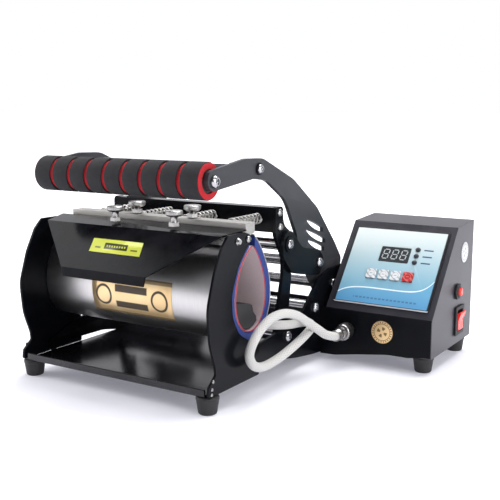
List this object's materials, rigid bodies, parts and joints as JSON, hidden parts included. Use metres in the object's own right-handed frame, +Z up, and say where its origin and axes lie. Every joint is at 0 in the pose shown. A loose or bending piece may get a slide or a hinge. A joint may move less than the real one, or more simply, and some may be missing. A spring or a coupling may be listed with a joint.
{
  "type": "mug heat press",
  "caption": "Desktop mug heat press: lever-closed wrap heater with foam grip, spring clamp bar, drip tray and a sloping control box.",
  "frame": {"origin": "centre of the bounding box's bottom face, on the table under the press", "axes": "+X along the heater towards the control box, +Y to the rear, +Z up"},
  "size_m": [0.3699, 0.354, 0.2275],
  "materials": {
    "black_coat": "gloss",
    "arm_coat": "satin",
    "plated_steel": "satin",
    "chrome": "polished",
    "brushed_steel": "brushed",
    "zinc": "satin",
    "nickel": "knurled",
    "red_silicone": "matte",
    "blue_silicone": "matte",
    "black_rubber": "matte",
    "foam": "foam",
    "glass_sleeve": "braided",
    "printed_panel": "satin",
    "smoked": "gloss",
    "board": "satin",
    "white_key": "satin",
    "red_key": "satin"
  },
  "bodies": {
    "base": {"base_pan": "black_coat", "side_frame_left": "black_coat", "side_frame_right": "black_coat", "end_plate_left": "black_coat", "end_plate_right": "black_coat", "front_clamp_rail": "plated_steel", "heat_guard": "black_coat", "heating_mat": "red_silicone", "heat_blanket": "blue_silicone", "steel_band": "brushed_steel", "rim_stop": "black_rubber", "tie_rod": "chrome", "frame_shaft": "chrome", "lever_shaft": "chrome", "control_box_shell": "black_coat", "box_rear_cover": "black_coat", "power_inlet": "black_rubber", "front_apron": "black_coat", "panel_plate": "printed_panel", "display_window": "smoked", "controller_board": "board", "rocker_bezel": "black_rubber", "reset_bezel": "black_rubber", "lead_plug": "plated_steel", "lead_sleeve": "glass_sleeve", "foot_front_left": "black_rubber", "foot_front_right": "black_rubber", "foot_box_front": "black_rubber", "foot_box_back": "black_rubber", "foot_rear_left": "black_rubber"},
    "lever": {"lever_arm_left": "arm_coat", "lever_arm_right": "arm_coat", "grip_rod": "chrome", "foam_grip": "foam", "brace_rod": "chrome", "link_shaft": "chrome"},
    "links": {"link_left": "black_coat", "link_right": "black_coat"},
    "push_frame": {"upright_left": "black_coat", "upright_right": "black_coat", "push_channel": "black_coat", "push_shaft": "chrome", "clamp_spring_1": "zinc", "clamp_spring_2": "zinc", "clamp_spring_3": "zinc", "clamp_spring_4": "zinc"},
    "clamp": {"clamp_bar": "zinc", "clamp_rod": "chrome"},
    "thumb_front_left": {"thumbscrew_front_left": "nickel"},
    "thumb_front_right": {"thumbscrew_front_right": "nickel"},
    "thumb_rear_left": {"thumbscrew_rear_left": "nickel"},
    "thumb_rear_right": {"thumbscrew_rear_right": "nickel"},
    "rocker_cap": {"rocker": "red_key"},
    "reset_cap": {"reset_button": "red_key"},
    "key_cap_1": {"key_1": "white_key"},
    "key_cap_2": {"key_2": "white_key"},
    "key_cap_3": {"key_3": "white_key"},
    "key_cap_4": {"key_4": "red_key"},
    "coupling": {"coupling_ring": "plated_steel"}
  },
  "joints": [
    {"name": "lever_hinge", "type": "hinge", "parent": "base", "child": "lever", "pos_m": [-0.064, 0.077, 0.08], "axis": [-1, 0, 0], "range_deg": [0, 60]},
    {"name": "link_hinge", "type": "hinge", "parent": "lever", "child": "links", "pos_m": [-0.064, 0.052, 0.107], "axis": [-1, 0, 0], "range_deg": [-75, 0]},
    {"name": "push_hinge", "type": "hinge", "parent": "base", "child": "push_frame", "pos_m": [-0.064, -0.025, 0.042], "axis": [-1, 0, 0], "range_deg": [0, 20], "deforming": ["steel_band", "heat_blanket"]},
    {"name": "clamp_slide", "type": "slide", "parent": "push_frame", "child": "clamp", "axis": [0, 1, 0], "range_m": [0, 0.01], "stiffness_N_per_m": 3000, "springref_m": -0.004, "deforming": ["clamp_spring_1", "clamp_spring_2", "clamp_spring_3", "clamp_spring_4"]},
    {"name": "thumb_front_left_turn", "type": "hinge", "parent": "base", "child": "thumb_front_left", "pos_m": [-0.09, -0.125, 0.168], "axis": [0, 0, 1], "continuous": true},
    {"name": "thumb_front_right_turn", "type": "hinge", "parent": "base", "child": "thumb_front_right", "pos_m": [-0.017, -0.125, 0.168], "axis": [0, 0, 1], "continuous": true},
    {"name": "thumb_rear_left_turn", "type": "hinge", "parent": "clamp", "child": "thumb_rear_left", "pos_m": [-0.087, -0.095, 0.1678], "axis": [0, 0, 1], "continuous": true},
    {"name": "thumb_rear_right_turn", "type": "hinge", "parent": "clamp", "child": "thumb_rear_right", "pos_m": [-0.017, -0.095, 0.1678], "axis": [0, 0, 1], "continuous": true},
    {"name": "rocker_tilt", "type": "hinge", "parent": "base", "child": "rocker_cap", "pos_m": [0.1784, 0.132, 0.043], "axis": [0, -1, 0], "range_deg": [0, 16]},
    {"name": "reset_press", "type": "slide", "parent": "base", "child": "reset_cap", "axis": [-1, 0, 0], "range_m": [0, 0.0015], "stiffness_N_per_m": 400, "springref_m": -0.001},
    {"name": "coupling_turn", "type": "hinge", "parent": "base", "child": "coupling", "pos_m": [0.085, 0.039, 0.037], "axis": [0, -1, 0], "continuous": true},
    {"name": "key_1_press", "type": "slide", "parent": "base", "child": "key_cap_1", "axis": [0, 0.7783, -0.6279], "range_m": [0, 0.001], "stiffness_N_per_m": 300, "springref_m": -0.0006},
    {"name": "key_2_press", "type": "slide", "parent": "base", "child": "key_cap_2", "axis": [0, 0.7783, -0.6279], "range_m": [0, 0.001], "stiffness_N_per_m": 300, "springref_m": -0.0006},
    {"name": "key_3_press", "type": "slide", "parent": "base", "child": "key_cap_3", "axis": [0, 0.7783, -0.6279], "range_m": [0, 0.001], "stiffness_N_per_m": 300, "springref_m": -0.0006},
    {"name": "key_4_press", "type": "slide", "parent": "base", "child": "key_cap_4", "axis": [0, 0.7783, -0.6279], "range_m": [0, 0.001], "stiffness_N_per_m": 300, "springref_m": -0.0006}
  ],
  "couplings": [
    {"joint": "push_hinge", "follows": "lever_hinge", "ratio": 0.3252},
    {"joint": "link_hinge", "follows": "lever_hinge", "ratio": -1.2386}
  ]
}
